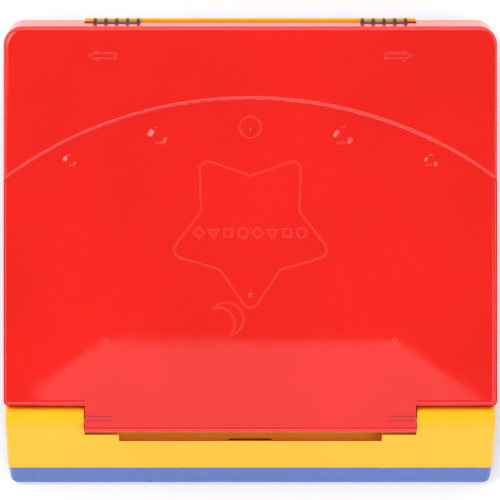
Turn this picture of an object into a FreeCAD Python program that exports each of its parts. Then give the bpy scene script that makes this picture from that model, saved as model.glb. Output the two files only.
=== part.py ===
import FreeCAD, Part

import math
import os

import Sketcher
from FreeCAD import Placement, Rotation, Vector

# A toy laptop, closed. Millimetres. X runs across it, Y from the front edge (the user's side) to the rear
# wall, Z up from the table. The origin is on the table, under the middle of the whole toy.
DIMENSIONS = {
    # base, seen from the side
    "base_front": -118.9,
    "base_rear": 120.0,
    "foot_height": 1.5,
    "seam_height": 14.0,
    "rear_seam": 111.7,
    "rear_shoulder": 87.4,
    "front_draft": 0.6,
    "seam_half_width": 125.5,
    "ear_half_width": 124.1,
    "shell_inset": 0.5,
    "shell_wall": 2.2,
    "front_corner": 9.5,
    "rear_corner": 4.0,
    "bottom_chamfer": 1.0,
    # keyboard deck
    "rim_height": 31.0,
    "lip_front": -119.4,
    "lip_half_width": 84.5,
    "lip_low": 25.0,
    "lip_round": 0.4,
    "deck_height": 27.0,
    "deck_thickness": 2.0,
    "deck_half_width": 118.0,
    "deck_front": -103.0,
    "deck_rear": 70.0,
    "deck_corner": 6.0,
    # hinge
    "hinge_y": 85.5,
    "hinge_z": 44.8,
    "barrel_radius": 6.0,
    "barrel_half_length": 83.8,
    "ear_inner": 84.3,
    "barrel_corner_round": 2.5,
    "ear_front": 78.65,
    "ear_height": 50.5,
    "ear_bevel_foot": 46.3,
    "ear_bevel_rear": 81.5,
    "ear_bevel_round": 0.6,
    "shoulder_round": 8.0,
    "ear_side_round": 2.5,
    "ear_hollow_inner": 104.0,
    "ear_hollow_outer": 120.5,
    "ear_hollow_rear": 88.0,
    "ear_hollow_height": 43.5,
    "pin_radius": 1.5,
    "pin_clearance": 0.05,
    "pin_inner": 74.0,
    "pin_outer": 100.0,
    # recess behind the hinge barrel
    "recess_half_length": 67.0,
    "recess_rear": 96.7,
    "recess_floor": 31.5,
    "recess_end_rear": 93.2,
    "recess_end_floor": 37.2,
    "slot_half_length": 11.0,
    "slot_front": 95.7,
    "slot_rear": 96.4,
    # lid
    "lid_half_width": 125.0,
    "lid_rim": 31.4,
    "lid_height": 52.0,
    "lid_step": 1.2,
    "lid_front_foot": -118.0,
    "lid_front_top": -113.5,
    "wing_rear": 78.2,
    "lid_wall": 2.4,
    "lid_edge_round": 3.0,
    "lid_rear_corner": 2.5,
    "arc_centre_y": 132.85,
    "arc_radius": 210.0,
    "arc_round": 1.2,
    "groove_inner": 70.0,
    "groove_front": 83.1,
    "groove_rear": 85.3,
    "groove_width": 0.5,
    "groove_depth": 0.9,
    "tongue_thickness": 6.0,
    # raised marks on the lid
    "mark_height": 0.24,
    "mark_line": 1.3,
    "mark_flank": 0.45,
    "pip_slope": 0.75,
    "arrow_x": 75.0,
    "arrow_y": -98.8,
    "arrow_length": 15.0,
    "arrow_head_length": 5.5,
    "arrow_head_width": 6.8,
    "arrow_shaft_width": 3.8,
    "ring_y": -62.9,
    "ring_radius": 6.0,
    "star_y": -12.0,
    "star_radius": 36.0,
    "star_waist": 21.5,
    "star_rounding": 5.0,
    "moon_x": 11.8,
    "moon_y": 34.2,
    "moon_radius": 9.0,
    "moon_bite_x": 0.5,
    "moon_bite_y": 0.28,
    "moon_bite_size": 0.86,
    "row_half_length": 26.0,
    "row_y": -9.4,
    "row_radius": 3.6,
    # latches
    "latch_slot_inner": 55.8,
    "latch_slot_outer": 84.6,
    "latch_slot_low": 33.6,
    "latch_slot_high": 40.8,
    "latch_length": 24.0,
    "latch_gap": 0.3,
    "latch_flange": 1.2,
    "latch_rib": 1.4,
    "latch_rib_pitch": 5.5,
    "latch_rib_width": 1.6,
    "latch_face": -0.5,
    "latch_lap": 2.4,
    "hook_inner": 62.0,
    "hook_outer": 74.0,
    "hook_low": 26.5,
    "hook_front": -114.6,
    "hook_rear": -112.8,
    "pocket_inner": 60.0,
    "pocket_outer": 80.5,
    "pocket_front": -116.2,
    "pocket_rear": -111.0,
    # lid inner frame and display
    "frame_low": 33.4,
    "frame_thickness": 2.2,
    "frame_half_width": 122.2,
    "frame_front": -114.2,
    "frame_rear": 75.3,
    "window_half_width": 60.0,
    "window_front": -38.0,
    "window_rear": 42.0,
    "window_border": 6.0,
    "window_border_drop": 1.2,
    "window_lap": 3.0,
    "window_thickness": 1.5,
    "display_thickness": 4.0,
    "display_board_thickness": 1.6,
    "display_post_x": 67.0,
    "display_post_radius": 2.5,
    "lid_boss_radius": 3.2,
    "lid_boss_x": 114.0,
    "bumper_radius": 2.4,
    "bumper_x": 100.0,
    # keys
    "key_pitch": 21.0,
    "key_row_pitch": 19.0,
    "key_row_y": 12.0,
    "key_width": 18.2,
    "key_depth": 16.0,
    "key_top": 30.2,
    "key_gap": 0.35,
    "key_flange": 0.85,
    "key_flange_top": 24.6,
    "key_flange_bottom": 23.1,
    "key_round": 2.0,
    "key_edge_round": 0.9,
    "space_width": 102.2,
    "button_radius": 6.7,
    "button_pitch": 22.0,
    "button_x": -36.0,
    "button_y": 46.0,
    "power_x": 92.0,
    # electronics
    "board_low": 17.5,
    "board_thickness": 1.6,
    "board_half_width": 108.0,
    "board_front": -64.0,
    "board_rear": 62.0,
    "board_step_x": -58.0,
    "board_step_y": 24.0,
    "keypad_thickness": 1.6,
    "keypad_margin": 5.0,
    "dome_radius": 3.5,
    "dome_height": 0.45,
    "board_boss_radius": 3.0,
    "speaker_x": -88.0,
    "speaker_y": 46.0,
    "speaker_radius": 19.0,
    "speaker_bottom": 10.0,
    # screws
    "boss_x": 114.0,
    "boss_radius": 3.5,
    "boss_low": 7.7,
    "screw_radius": 1.4,
    "screw_head_radius": 2.8,
    "screw_head_height": 1.5,
    "screw_seat": 3.0,
    "small_screw_radius": 1.0,
    "small_head_radius": 2.2,
    "small_head_height": 1.0,
    "screw_point": 1.5,
    "housing_screw_length": 14.0,
    "door_screw_length": 3.6,
    "board_screw_length": 5.0,
    "lid_screw_length": 8.0,
    "display_screw_length": 4.5,
    # battery bay
    "bay_half_length": 54.0,
    "bay_front": -104.5,
    "bay_rear": -69.5,
    "bay_height": 19.0,
    "bay_wall": 1.6,
    "door_left": -58.0,
    "door_right": 66.0,
    "door_front": -106.0,
    "door_rear": -68.0,
    "door_thickness": 1.9,
    "door_gap": 0.3,
    "door_tongue_front": -97.0,
    "door_tongue_rear": -77.0,
    "door_tongue_half_width": 3.0,
    "door_tongue_reach": 2.0,
    "door_tongue_step": 0.8,
    "door_screw_seat": 1.1,
    "door_groove_pitch": 3.0,
    "door_groove_width": 1.2,
    "door_groove_depth": 0.5,
    "door_groove_half_length": 8.0,
    "cell_radius": 7.1,
    "cell_length": 49.2,
    "cell_nub": 1.0,
    # feet
    "foot_radius": 6.0,
    "foot_x": 100.0,
    "foot_recess": 0.5,
}

KEY_ROWS = ("qwertyuiop", "asdfghjkl", "zxcvbnm")
BUTTON_NAMES = ("music", "game", "count", "draw", "story")
# bumps on the lid's lower top surface: x (on both sides unless 0), y, radius, height
LID_DOMES = (
    (0.0, -62.9, 4.3, 0.35),
    (47.0, -58.0, 5.0, 1.0),
    (91.5, -45.5, 3.5, 0.75),
    (0.0, -61.6, 1.1, 1.15),
)
# conical pips on the same surface: x (on both sides unless 0), y, foot radius, crown radius
LID_PIPS = (
    (0.0, 22.0, 1.4, 0.3),
    (73.0, 45.0, 1.6, 0.7),
)

doc = FreeCAD.newDocument("ToyLaptop")
sheet = doc.addObject("Spreadsheet::Sheet", "Dimensions")
for line, (alias, number) in enumerate(DIMENSIONS.items(), 1):
    sheet.set(f"A{line}", alias)
    sheet.set(f"B{line}", str(number))
    sheet.setAlias(f"B{line}", alias)
doc.recompute()

parts = {}


class Size:
    """A length with the sheet formula behind it, so that sums of sizes stay bound to the sheet."""

    def __init__(self, value, formula=None):
        self.value = float(value)
        self.formula = formula or f"({self.value:.6f})"

    def __add__(self, other):
        other = as_size(other)
        return Size(self.value + other.value, f"({self.formula} + {other.formula})")

    def __sub__(self, other):
        other = as_size(other)
        return Size(self.value - other.value, f"({self.formula} - {other.formula})")

    def __mul__(self, other):
        other = as_size(other)
        return Size(self.value * other.value, f"({self.formula} * {other.formula})")

    def __truediv__(self, other):
        other = as_size(other)
        return Size(self.value / other.value, f"({self.formula} / {other.formula})")

    def __neg__(self):
        return self * -1

    def __rsub__(self, other):
        return as_size(other) - self

    __radd__ = __add__
    __rmul__ = __mul__


def as_size(item):
    return item if isinstance(item, Size) else Size(item)


def ordered(first, second):
    """Two sizes, the smaller one first."""
    return (first, second) if first.value < second.value else (second, first)


class Sheet:
    """Gives each of the sheet's aliases as a Size."""

    def __getattr__(self, alias):
        return Size(DIMENSIONS[alias], f"Dimensions.{alias}")


dim = Sheet()


def keep(node, item):
    """Names a finished sub-part's object after its node."""
    item.Label = node
    parts[node] = item
    return item


# ---- sketches and PartDesign features ----


def plane_of(body, role):
    return next(feature for feature in body.Origin.OriginFeatures if feature.Role == role)


class Outline:
    """Lines and circles that are put in a sketch together with the sizes that place them."""

    def __init__(self, sketch):
        self.sketch = sketch
        self.shapes = []
        self.rules = []
        self.sizes = {}

    def measure(self, kind, size, *ends):
        self.sizes[len(self.rules)] = size
        self.rules.append(Sketcher.Constraint(kind, *ends, size.value))

    def tie(self, number, vertex, point):
        """Ties a point to its two sizes, measured from the sketch's origin."""
        self.measure("DistanceX", point[0], -1, 1, number, vertex)
        self.measure("DistanceY", point[1], -1, 1, number, vertex)

    def loop(self, corners):
        corners = [(as_size(x), as_size(y)) for x, y in corners]
        first, count = len(self.shapes), len(corners)
        for number, start in enumerate(corners):
            end = corners[(number + 1) % count]
            ends = [Vector(x.value, y.value, 0) for x, y in (start, end)]
            self.shapes.append(Part.LineSegment(*ends))
            following = first + (number + 1) % count
            self.rules.append(Sketcher.Constraint("Coincident", first + number, 2, following, 1))
            self.tie(first + number, 1, start)

    def circle(self, centre, radius):
        centre, radius = [as_size(size) for size in centre], as_size(radius)
        number = len(self.shapes)
        middle = Vector(centre[0].value, centre[1].value, 0)
        self.shapes.append(Part.Circle(middle, Vector(0, 0, 1), radius.value))
        self.tie(number, 3, centre)
        self.measure("Radius", radius, number)

    def draw(self):
        self.sketch.addGeometry(self.shapes)
        self.sketch.addConstraint(self.rules)
        for number, size in self.sizes.items():
            self.sketch.setExpression(f"Constraints[{number}]", size.formula)


def rectangle(left, right, front, rear):
    return [(left, front), (right, front), (right, rear), (left, rear)]


def both_sides(loop):
    """A loop and its mirror image across X = 0."""
    return [loop, [(-as_size(x), y) for x, y in reversed(loop)]]


class Moulding:
    """A PartDesign body made feature by feature from outlines on its own origin planes."""

    def __init__(self, name):
        self.body = doc.addObject("PartDesign::Body", name)

    def sketch(self, plane, level, loops, circles):
        outline = self.body.newObject("Sketcher::SketchObject", "Outline")
        outline.AttachmentSupport = (plane_of(self.body, plane), "")
        outline.MapMode = "FlatFace"
        outline.setExpression(".AttachmentOffset.Base.z", as_size(level).formula)
        drawing = Outline(outline)
        for loop in loops:
            drawing.loop(loop)
        for centre, radius in circles:
            drawing.circle(centre, radius)
        drawing.draw()
        return outline

    def feature(self, kind, length, plane, level, loops, circles, symmetric, upward):
        outline = self.sketch(plane, level, loops, circles)
        before = self.body.Shape.Volume if self.body.Tip else 0.0
        made = self.body.newObject(f"PartDesign::{kind}", kind)
        made.Profile = outline
        made.setExpression("Length", as_size(length).formula)
        if symmetric:
            made.SideType = "Symmetric"
        made.Reversed = upward if kind == "Pocket" else False
        doc.recompute()
        if abs(made.Shape.Volume - before) < 1e-6:
            raise ValueError(f"{self.body.Name}: {made.Name} changes nothing")
        return made

    def pad(self, length, plane="XY_Plane", level=0, loops=(), circles=(), symmetric=False):
        return self.feature("Pad", length, plane, level, loops, circles, symmetric, False)

    def pocket(self, length, plane="XY_Plane", level=0, loops=(), circles=(), symmetric=False, upward=False):
        return self.feature("Pocket", length, plane, level, loops, circles, symmetric, upward)

    def fillet(self, radius, chosen):
        """Rounds the edges for which chosen(edge, box) is true."""
        base = self.body.Tip
        names = [f"Edge{n}" for n, edge in enumerate(base.Shape.Edges, 1) if chosen(edge, edge.BoundBox)]
        made = self.body.newObject("PartDesign::Fillet", "Fillet")
        made.Base = (base, names)
        made.setExpression("Radius", as_size(radius).formula)
        doc.recompute()
        return made


# ---- Part primitives and booleans ----


def place(item, x, y, z, turn=Rotation()):
    item.Placement = Placement(Vector(0, 0, 0), turn)
    for axis, size in zip("xyz", (x, y, z)):
        item.setExpression(f".Placement.Base.{axis}", as_size(size).formula)
    return item


def block(left, right, front, rear, low, high):
    left, right, front, rear, low, high = map(as_size, (left, right, front, rear, low, high))
    item = doc.addObject("Part::Box", "Block")
    item.setExpression("Length", (right - left).formula)
    item.setExpression("Width", (rear - front).formula)
    item.setExpression("Height", (high - low).formula)
    return place(item, left, front, low)


def rod(x, y, z, radius, length, turn=Rotation()):
    """A cylinder that starts at a point and runs up, or along X with turn=ALONG_X."""
    item = doc.addObject("Part::Cylinder", "Rod")
    item.setExpression("Radius", as_size(radius).formula)
    item.setExpression("Height", as_size(length).formula)
    return place(item, x, y, z, turn)


def cone(x, y, z, low_radius, high_radius, height, turn=Rotation()):
    item = doc.addObject("Part::Cone", "Cone")
    item.setExpression("Radius1", as_size(low_radius).formula)
    item.setExpression("Radius2", as_size(high_radius).formula)
    item.setExpression("Height", as_size(height).formula)
    return place(item, x, y, z, turn)


ALONG_X = Rotation(Vector(0, 1, 0), 90)
AGAINST_X = Rotation(Vector(0, 1, 0), -90)


def fuse(*items):
    if len(items) == 1:
        return items[0]
    item = doc.addObject("Part::MultiFuse", "Joined")
    item.Shapes = list(items)
    doc.recompute()
    return item


def cut(base, *tools):
    item = doc.addObject("Part::Cut", "Cut")
    item.Base = base
    item.Tool = fuse(*tools)
    doc.recompute()
    return item


def group(items):
    item = doc.addObject("Part::Compound", "Group")
    item.Links = list(items)
    return item


def rounded(base, radius, chosen):
    """A Part primitive with the chosen edges rounded."""
    doc.recompute()
    item = doc.addObject("Part::Fillet", "Rounded")
    item.Base = base
    edges = enumerate(base.Shape.Edges, 1)
    item.Edges = [(n, radius.value, radius.value) for n, edge in edges if chosen(edge, edge.BoundBox)]
    doc.recompute()
    return item


def upright(edge, box):
    return box.ZLength > 1.0 and box.XLength < 0.2 and box.YLength < 0.2


def at_height(level):
    return lambda edge, box: box.ZLength < 1e-4 and abs(box.ZMax - level.value) < 1e-4


# ---- places that repeat ----


def screw_places():
    """Six housing screws, three along each side of the base."""
    return [(side * dim.boss_x, y) for side in (-1, 1) for y in (-100, -20, 64)]


def board_screw_places():
    return [(-100, -56), (100, -56), (102, 57), (-52, 57)]


def lid_screw_places():
    """Six screws through the lid's inner frame."""
    return [(side * dim.lid_boss_x, y) for side in (-1, 1) for y in (-92, -10, 68)]


def display_screw_places():
    spread = dim.window_border - 1
    rows = (dim.window_front - spread, dim.window_rear + spread)
    return [(side * dim.display_post_x, y) for side in (-1, 1) for y in rows]


def foot_places():
    return [(side * dim.foot_x, y) for side in (-1, 1) for y in (-96, 100)]


def key_places():
    """Letter, X and Y of each letter key."""
    for row, letters in enumerate(KEY_ROWS):
        y = dim.key_row_y - dim.key_row_pitch * row
        for column, letter in enumerate(letters):
            yield letter, dim.key_pitch * (column - (len(letters) - 1) / 2), y


def space_row():
    return dim.key_row_y - dim.key_row_pitch * len(KEY_ROWS)


def button_places():
    """Name, X and Y of each round button: the five activities, then power."""
    for number, name in enumerate(BUTTON_NAMES):
        yield name, dim.button_x + dim.button_pitch * number, dim.button_y
    yield "power", dim.power_x, dim.button_y


def latch_wall(level):
    """Y of the lid's sloping front face at a height."""
    slope = (dim.lid_front_top - dim.lid_front_foot) / (dim.lid_height - dim.lid_rim)
    return dim.lid_front_foot + slope * (level - dim.lid_rim)


# ---- base ----


def rear_wall(level):
    """Y of the yellow housing's sloping rear face at a height."""
    slope = (dim.rear_seam - dim.rear_shoulder) / (dim.ear_height - dim.seam_height)
    return dim.rear_seam - slope * (level - dim.seam_height)


def hollow_base(item, front_wall, rest):
    """Hollows a base shell in two steps, the front one narrower to stay inside the rounded front corners.

    front_wall is the lower and the upper point of the front wall's inner face, and rest the outline behind.
    """
    (low_y, low), (high_y, high) = front_wall
    step = dim.base_front + dim.front_corner
    narrow = (dim.seam_half_width - dim.front_corner) * 2
    outline = [(low_y, low), (high_y, high), (step + 1, high), (step + 1, low)]
    item.pocket(narrow, plane="YZ_Plane", symmetric=True, loops=[outline])
    wide = (dim.seam_half_width - dim.shell_wall - 0.5) * 2
    item.pocket(wide, plane="YZ_Plane", symmetric=True, loops=[[(step, low), (step, high), *rest]])


def along_top(box, y):
    """Tells the edge that runs across the top of the ears at this depth."""
    across = 2 * dim.ear_half_width.value - 5
    level = dim.ear_height.value
    return box.XLength > across and abs(box.YMin - y.value) < 0.1 and abs(box.ZMin - level) < 0.1


def upper_housing():
    """Yellow shell: keyboard deck inside a rim, two hinge ears and a sloping rear wall."""
    item = Moulding("UpperHousing")
    front = dim.base_front
    item.pad(
        dim.seam_half_width * 2,
        plane="YZ_Plane",
        symmetric=True,
        loops=[[
            (front, dim.seam_height),
            (front + dim.front_draft, dim.rim_height),
            (dim.ear_front, dim.rim_height),
            (dim.ear_front, dim.ear_bevel_foot),
            (dim.ear_bevel_rear, dim.ear_height),
            (dim.rear_shoulder, dim.ear_height),
            (dim.rear_seam, dim.seam_height),
        ]],
    )
    # the sides lean in towards the top
    over = dim.seam_half_width + 1
    item.pocket(
        dim.base_rear * 3,
        plane="XZ_Plane",
        symmetric=True,
        loops=both_sides([
            (dim.seam_half_width, dim.seam_height),
            (over, dim.seam_height),
            (over, dim.ear_height + 1),
            (dim.ear_half_width, dim.ear_height + 1),
            (dim.ear_half_width, dim.ear_height),
        ]),
    )
    item.fillet(
        dim.front_corner,
        lambda edge, box: box.YMax < dim.base_front.value + 5 and box.ZLength > 10 and box.XLength < 5,
    )
    item.fillet(dim.shoulder_round, lambda edge, box: along_top(box, dim.rear_shoulder))
    item.fillet(dim.ear_bevel_round, lambda edge, box: along_top(box, dim.ear_bevel_rear))
    item.fillet(
        dim.ear_side_round,
        lambda edge, box: box.YMin > dim.ear_front.value - 1
        and box.XLength < 2
        and box.ZMax > dim.seam_height.value + 30
        and box.YMax > dim.ear_front.value + 1,
    )
    # a low lip between the latches
    lip_half = dim.lip_half_width
    item.pad(
        dim.rim_height - dim.lip_low,
        level=dim.lip_low,
        loops=[rectangle(-lip_half, lip_half, dim.lip_front, dim.base_front + 2)],
    )
    item.fillet(dim.lip_round, lambda edge, box: box.YMax < dim.lip_front.value + 0.1)
    item.pocket(
        dim.ear_height + 2 - dim.recess_end_floor,
        level=dim.ear_height + 2,
        loops=[rectangle(-dim.ear_inner, dim.ear_inner, dim.ear_front - 2, dim.recess_end_rear)],
    )
    item.pocket(
        dim.ear_height + 2 - dim.recess_floor,
        level=dim.ear_height + 2,
        loops=[
            rectangle(
                -dim.recess_half_length,
                dim.recess_half_length,
                dim.ear_front + dim.shell_wall,
                dim.recess_rear,
            )
        ],
    )
    item.pocket(
        dim.rim_height + 1 - dim.deck_height,
        level=dim.rim_height + 1,
        loops=[rectangle(-dim.deck_half_width, dim.deck_half_width, dim.deck_front, dim.deck_rear)],
    )
    item.fillet(
        dim.deck_corner,
        lambda edge, box: upright(edge, box)
        and abs(abs(box.XMax) - dim.deck_half_width.value) < 0.1
        and box.ZMin > dim.deck_height.value - 0.1,
    )
    # the hollow inside, open at the seam
    roof = dim.deck_height - dim.deck_thickness
    rear_roof = dim.recess_floor - dim.shell_wall
    wall = dim.shell_wall
    slanted_wall = wall * 1.2
    hollow_base(
        item,
        [(front + wall, dim.seam_height - 1), (front + wall + dim.front_draft, roof)],
        [
            (dim.ear_front + wall * 2, roof),
            (dim.ear_front + wall * 2, rear_roof),
            (rear_wall(rear_roof) - slanted_wall, rear_roof),
            (rear_wall(dim.seam_height - 1) - slanted_wall, dim.seam_height - 1),
        ],
    )
    item.pocket(
        dim.ear_hollow_height - dim.seam_height,
        level=dim.seam_height,
        upward=True,
        loops=both_sides(
            rectangle(dim.ear_hollow_inner, dim.ear_hollow_outer, dim.ear_front + wall, dim.ear_hollow_rear)
        ),
    )
    # slot for the display leads, in the recess floor
    item.pocket(
        wall + 2,
        level=dim.recess_floor + 1,
        loops=[rectangle(-dim.slot_half_length, dim.slot_half_length, dim.slot_front, dim.slot_rear)],
    )
    # holes in the deck: keys, space bar, round buttons, speaker grille, latch pockets
    through = dim.deck_thickness + 2
    above = dim.deck_height + 1
    for row in range(len(KEY_ROWS)):
        y = dim.key_row_y - dim.key_row_pitch * row
        holes = [key_hole(x, y, dim.key_width) for _, x, place_y in key_places() if place_y.value == y.value]
        item.pocket(through, level=above, loops=holes)
    item.pocket(through, level=above, loops=[key_hole(Size(0), space_row(), dim.space_width)])
    item.pocket(
        through,
        level=above,
        circles=[((x, y), dim.button_radius + dim.key_gap) for _, x, y in button_places()],
    )
    item.pocket(through, level=above, loops=grille_slots())
    item.pocket(
        dim.rim_height - roof + 2,
        level=dim.rim_height + 1,
        loops=both_sides(rectangle(dim.pocket_inner, dim.pocket_outer, dim.pocket_front, dim.pocket_rear)),
    )
    # bosses for the housing screws and the circuit board
    for centre in screw_places():
        item.pad(roof + 0.5 - dim.boss_low, level=dim.boss_low, circles=[(centre, dim.boss_radius)])
        item.pocket(12, level=dim.boss_low, upward=True, circles=[(centre, dim.screw_radius)])
    board_top = dim.board_low + dim.board_thickness
    for centre in board_screw_places():
        item.pad(roof + 0.5 - board_top, level=board_top, circles=[(centre, dim.board_boss_radius)])
        item.pocket(4, level=board_top, upward=True, circles=[(centre, dim.small_screw_radius)])
    # bores that hold the hinge pins
    item.pocket(
        dim.pin_outer * 2,
        plane="YZ_Plane",
        symmetric=True,
        circles=[((dim.hinge_y, dim.hinge_z), dim.pin_radius)],
    )
    keep("upper_housing", item.body)


def key_hole(x, y, width):
    across = width / 2 + dim.key_gap
    deep = dim.key_depth / 2 + dim.key_gap
    return rectangle(x - across, x + across, y - deep, y + deep)


def grille_slots():
    """Parallel slots in the deck that fill a circle over the speaker."""
    slot_width, slot_pitch, reach = 1.8, 4.2, 17.0
    for number in range(-3, 4):
        offset = number * slot_pitch
        half = math.sqrt(reach**2 - offset**2)
        y = dim.speaker_y + offset
        yield rectangle(
            dim.speaker_x - half,
            dim.speaker_x + half,
            y - slot_width / 2,
            y + slot_width / 2,
        )


def bottom_shell():
    """Blue shell: floor, walls up to the seam, screw pillars, battery bay."""
    item = Moulding("BottomShell")
    inset = dim.shell_inset
    floor = dim.foot_height + dim.shell_wall
    wall = dim.shell_wall
    item.pad(
        (dim.seam_half_width - inset) * 2,
        plane="YZ_Plane",
        symmetric=True,
        loops=[[
            (dim.base_front + inset + 1, dim.foot_height),
            (dim.base_front + inset, dim.seam_height),
            (dim.rear_seam - inset, dim.seam_height),
            (dim.base_rear, dim.foot_height + dim.bottom_chamfer * 1.5),
            (dim.base_rear - dim.bottom_chamfer, dim.foot_height),
        ]],
    )
    item.fillet(
        dim.front_corner - inset,
        lambda edge, box: box.YMax < dim.base_front.value + 5 and box.ZLength > 10 and box.XLength < 5,
    )
    item.fillet(
        dim.rear_corner,
        lambda edge, box: box.YMin > dim.rear_seam.value - 2 and box.ZLength > 0.5 and box.XLength < 1,
    )
    hollow_base(
        item,
        [(dim.base_front + wall + 1.5, floor), (dim.base_front + wall + inset, dim.seam_height + 1)],
        [(dim.rear_seam - wall * 1.5, dim.seam_height + 1), (dim.base_rear - wall * 2, floor)],
    )
    # battery bay with its roof, and the seat of its door
    bay_wall = dim.bay_wall
    item.pad(
        dim.bay_height + bay_wall - floor,
        level=floor,
        loops=[
            rectangle(
                -dim.bay_half_length - bay_wall,
                dim.bay_half_length + bay_wall,
                dim.bay_front - bay_wall,
                dim.bay_rear + bay_wall,
            )
        ],
    )
    # thicker floor over the door screw
    item.pad(
        4,
        level=floor,
        loops=[
            rectangle(dim.bay_half_length, dim.door_right + bay_wall, dim.door_front + 8, dim.door_rear - 8)
        ],
    )
    item.pocket(
        dim.bay_height,
        level=0,
        upward=True,
        loops=[rectangle(-dim.bay_half_length, dim.bay_half_length, dim.bay_front, dim.bay_rear)],
    )
    item.pocket(
        dim.foot_height + dim.door_thickness,
        level=0,
        upward=True,
        loops=[rectangle(dim.door_left, dim.door_right, dim.door_front, dim.door_rear)],
    )
    tongue_low = dim.foot_height + dim.door_tongue_step - 0.2
    item.pocket(3, level=tongue_low, upward=True, loops=tongue_outlines(dim.door_gap))
    item.pocket(
        5,
        level=dim.foot_height,
        upward=True,
        circles=[(door_screw_place(), dim.small_screw_radius)],
    )
    # screw pillars with counterbored holes from below
    for centre in screw_places():
        item.pad(dim.boss_low - 0.2 - floor, level=floor, circles=[(centre, dim.boss_radius + 0.7)])
        item.pocket(dim.boss_low, level=0, upward=True, circles=[(centre, dim.screw_radius + 0.3)])
        item.pocket(
            dim.foot_height + dim.screw_seat,
            level=0,
            upward=True,
            circles=[(centre, dim.screw_head_radius + 0.4)],
        )
    item.pocket(
        dim.foot_height + dim.foot_recess,
        level=0,
        upward=True,
        circles=[(centre, dim.foot_radius + 0.1) for centre in foot_places()],
    )
    keep("bottom_shell", item.body)


def tongue_outlines(gap):
    """Outlines of the two tongues at the battery door's left end, with a gap around them."""
    left = dim.door_left - dim.door_tongue_reach - gap / 2
    half = dim.door_tongue_half_width + gap
    rows = (dim.door_tongue_front, dim.door_tongue_rear)
    return [rectangle(left, dim.door_left + 0.5, y - half, y + half) for y in rows]


def door_screw_place():
    return (dim.bay_half_length + dim.door_right) / 2 + 0.8, (dim.door_front + dim.door_rear) / 2


def battery_door():
    """Blue door flush with the underside: two tongues at one end, a screw at the other, grip grooves."""
    item = Moulding("BatteryDoor")
    gap = dim.door_gap
    left, right = dim.door_left + gap, dim.door_right - gap
    front, rear = dim.door_front + gap, dim.door_rear - gap
    thickness = dim.door_thickness - 0.1
    item.pad(thickness, level=dim.foot_height, loops=[rectangle(left, right, front, rear)])
    step = dim.door_tongue_step
    item.pad(thickness - step, level=dim.foot_height + step, loops=tongue_outlines(Size(0)))
    place_of_screw = door_screw_place()
    item.pocket(4, level=0, upward=True, circles=[(place_of_screw, dim.small_screw_radius + 0.2)])
    item.pocket(
        dim.foot_height + dim.door_screw_seat,
        level=0,
        upward=True,
        circles=[(place_of_screw, dim.small_head_radius + 0.3)],
    )
    half, reach = dim.door_groove_width / 2, dim.door_groove_half_length
    middle = (front + rear) / 2
    for number in range(5):
        x = right - 22 - dim.door_groove_pitch * number
        item.pocket(
            dim.foot_height + dim.door_groove_depth,
            level=0,
            upward=True,
            loops=[rectangle(x - half, x + half, middle - reach, middle + reach)],
        )
    keep("battery_door", item.body)


def cross_slots(x, y, half_width, reach, low, high):
    """The two crossing slots of a screw head, as blocks to cut away."""
    return [
        block(x - reach, x + reach, y - half_width, y + half_width, low, high),
        block(x - half_width, x + half_width, y - reach, y + reach, low, high),
    ]


def up_screw(x, y, head_low, radius, head_radius, head_height, length):
    """A screw that points up: head below, pointed shank above."""
    x, y = as_size(x), as_size(y)
    point_low = head_low + head_height + length - dim.screw_point
    point = cone(x, y, point_low, radius, radius * 0.4, dim.screw_point)
    shank = rod(x, y, head_low, radius, point_low - head_low)
    head = rod(x, y, head_low, head_radius, head_height)
    slots = cross_slots(x, y, 0.35, head_radius * 0.65, head_low - 1, head_low + head_height * 0.55)
    return cut(fuse(head, shank, point), *slots)


def down_screw(x, y, head_high, radius, head_radius, head_height, length):
    """A screw that points down: head above, blunt shank below."""
    x, y = as_size(x), as_size(y)
    head_low = head_high - head_height
    head = rod(x, y, head_low, head_radius, head_height)
    shank = rod(x, y, head_low - length, radius, length + 0.1)
    slots = cross_slots(x, y, 0.3, head_radius * 0.65, head_high - head_height * 0.55, head_high + 1)
    return cut(fuse(head, shank), *slots)


def fasteners():
    """Every screw, in one group for each place it is used."""
    large = (dim.screw_radius, dim.screw_head_radius, dim.screw_head_height)
    small = (dim.small_screw_radius, dim.small_head_radius, dim.small_head_height)
    low = dim.foot_height + dim.screw_seat - dim.screw_head_height
    housing = [up_screw(x, y, low, *large, dim.housing_screw_length) for x, y in screw_places()]
    keep("housing_screws", group(housing))
    low = dim.foot_height + dim.door_screw_seat - dim.small_head_height
    keep("battery_door_screw", up_screw(*door_screw_place(), low, *small, dim.door_screw_length))
    low = dim.board_low - dim.small_head_height
    board = [up_screw(x, y, low, *small, dim.board_screw_length) for x, y in board_screw_places()]
    keep("board_screws", group(board))
    low = dim.frame_low + 0.1
    lid = [up_screw(x, y, low, *small, dim.lid_screw_length) for x, y in lid_screw_places()]
    keep("lid_screws", group(lid))
    high = display_board_low() + dim.display_board_thickness + dim.small_head_height
    display = [down_screw(x, y, high, *small, dim.display_screw_length) for x, y in display_screw_places()]
    keep("display_screws", group(display))


def hinge_pins():
    """Two steel pins pressed in the ears; the lid's barrel turns on their inner ends."""
    length = dim.pin_outer - dim.pin_inner
    right = rod(dim.pin_inner, dim.hinge_y, dim.hinge_z, dim.pin_radius, length, ALONG_X)
    left = rod(-dim.pin_inner, dim.hinge_y, dim.hinge_z, dim.pin_radius, length, AGAINST_X)
    keep("hinge_pins", group([right, left]))


def rubber_feet():
    feet = []
    for x, y in foot_places():
        foot = rod(x, y, 0, dim.foot_radius, dim.foot_height + dim.foot_recess)
        feet.append(rounded(foot, Size(0.6), at_height(Size(0))))
    keep("rubber_feet", group(feet))


# ---- what the base holds ----


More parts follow.
